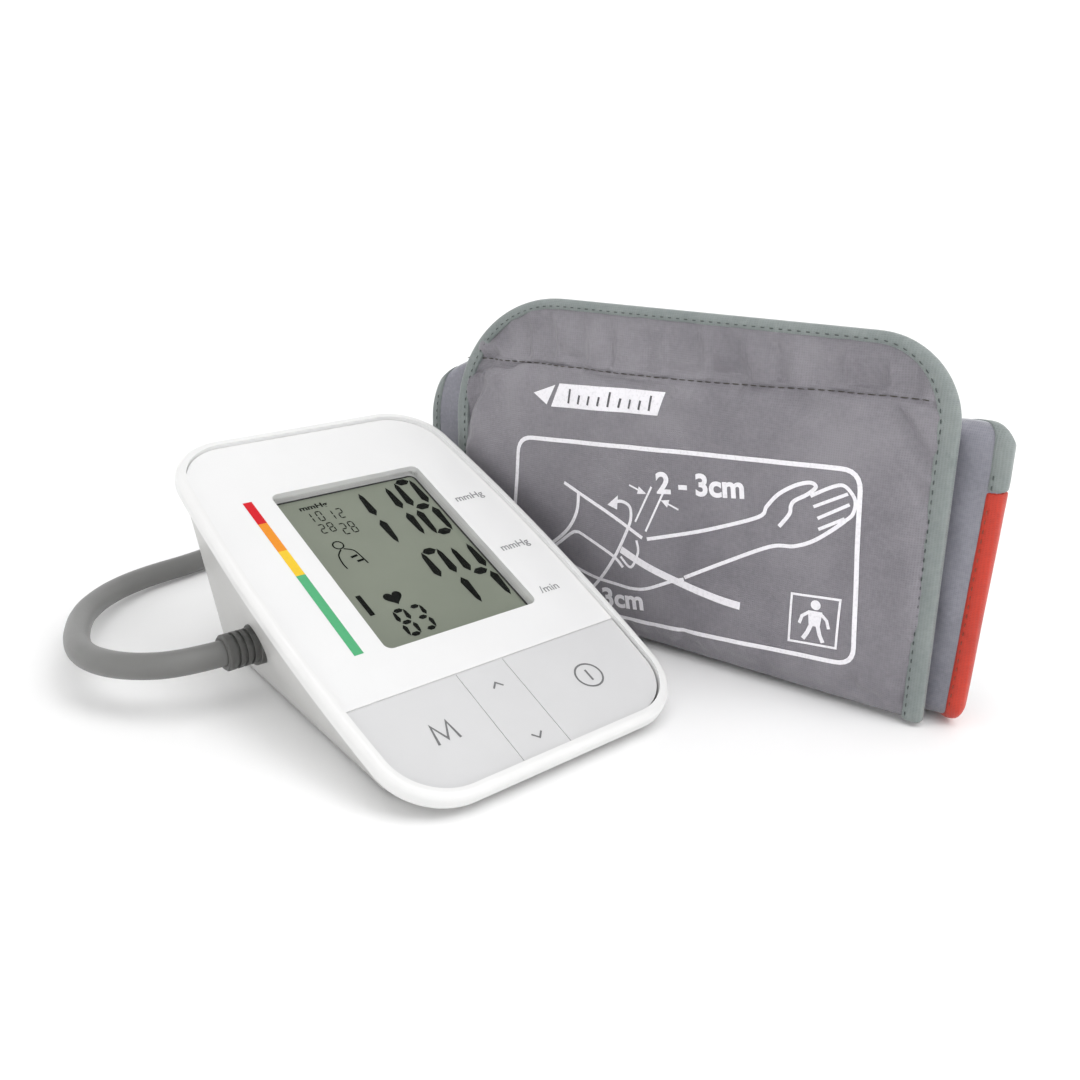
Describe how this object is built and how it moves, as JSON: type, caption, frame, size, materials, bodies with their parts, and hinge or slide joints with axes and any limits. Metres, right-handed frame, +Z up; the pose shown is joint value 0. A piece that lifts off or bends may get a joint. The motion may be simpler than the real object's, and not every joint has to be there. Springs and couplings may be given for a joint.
{
  "type": "upper arm blood pressure monitor",
  "caption": "Wedge-shaped desk blood pressure monitor with sloping display and keys, joined by an air hose to a rolled upper arm cuff.",
  "frame": {"origin": "on the table, under the middle of the box around the monitor and the cuff", "axes": "+X to the monitor's right, -Y towards the user, +Z up"},
  "size_m": [0.2188, 0.3823, 0.112],
  "materials": {
    "white_case": "white satin moulding",
    "panel_white": "smooth white face panel",
    "key_grey": "light grey key caps",
    "clear_window": "clear display window",
    "lcd": "green-grey liquid crystal",
    "dark_plastic": "dark inner moulding",
    "board": "green circuit board",
    "chip": "black package",
    "rubber_dark": "black rubber",
    "hose_grey": "grey soft tubing",
    "plug_grey": "grey ribbed plug",
    "tube_clear": "pale silicone tube",
    "steel": "bright steel",
    "battery_wrap": "plain printed cell",
    "cuff_cloth": "grey woven nylon",
    "binding": "grey-green edge tape",
    "marker_red": "red edge tape",
    "bag_rubber": "black air bag",
    "patch": "hook and loop"
  },
  "bodies": {
    "monitor_and_cuff": {"upper_case": "white_case", "lower_case": "white_case", "face_panel": "panel_white", "display_window": "clear_window", "lcd_glass": "lcd", "lcd_frame": "dark_plastic", "contact_strips": "rubber_dark", "main_board": "board", "controller_chip": "chip", "pressure_sensor": "chip", "beeper": "chip", "key_board": "board", "key_switches": "chip", "battery_tray": "dark_plastic", "battery_1": "battery_wrap", "battery_2": "battery_wrap", "battery_3": "battery_wrap", "battery_4": "battery_wrap", "battery_contacts": "steel", "pump_motor": "steel", "pump_head": "dark_plastic", "case_feet": "rubber_dark", "case_screws": "steel", "air_socket": "plug_grey", "air_plug": "plug_grey", "plug_nozzle": "plug_grey", "air_hose": "hose_grey", "air_manifold": "dark_plastic", "exhaust_valve": "steel", "socket_tube": "tube_clear", "pump_tube": "tube_clear", "cuff_flap": "cuff_cloth", "flap_binding": "binding", "cuff_bottom_fold": "cuff_cloth", "cuff_top_fold": "cuff_cloth", "cuff_rear_layer": "cuff_cloth", "cuff_inner_layer": "cuff_cloth", "left_binding": "binding", "right_binding": "binding", "size_marker": "marker_red", "loop_patch": "patch", "hook_patch": "patch", "air_bag": "bag_rubber", "cuff_port": "plug_grey"},
    "memory_key": {"memory_key": "key_grey"},
    "rocker_key": {"rocker_key": "key_grey"},
    "start_key": {"start_key": "key_grey"},
    "battery_cover": {"battery_cover": "white_case"}
  },
  "joints": [
    {"name": "memory_key_press", "type": "slide", "parent": "monitor_and_cuff", "child": "memory_key", "axis": [0, 0.4067, -0.9135], "range_m": [0, 0.0006], "stiffness_N_per_m": 400, "springref_m": -0.001},
    {"name": "start_key_press", "type": "slide", "parent": "monitor_and_cuff", "child": "start_key", "axis": [0, 0.4067, -0.9135], "range_m": [0, 0.0006], "stiffness_N_per_m": 400, "springref_m": -0.001},
    {"name": "rocker_key_tilt", "type": "hinge", "parent": "monitor_and_cuff", "child": "rocker_key", "pos_m": [-0.04345, -0.0292, 0.01235], "axis": [1, 0, 0], "range_deg": [-1.8, 1.8], "stiffness_Nm_per_rad": 0.05},
    {"name": "battery_cover_slide", "type": "slide", "parent": "monitor_and_cuff", "child": "battery_cover", "axis": [0, 1, 0], "range_m": [0, 0.045]}
  ]
}
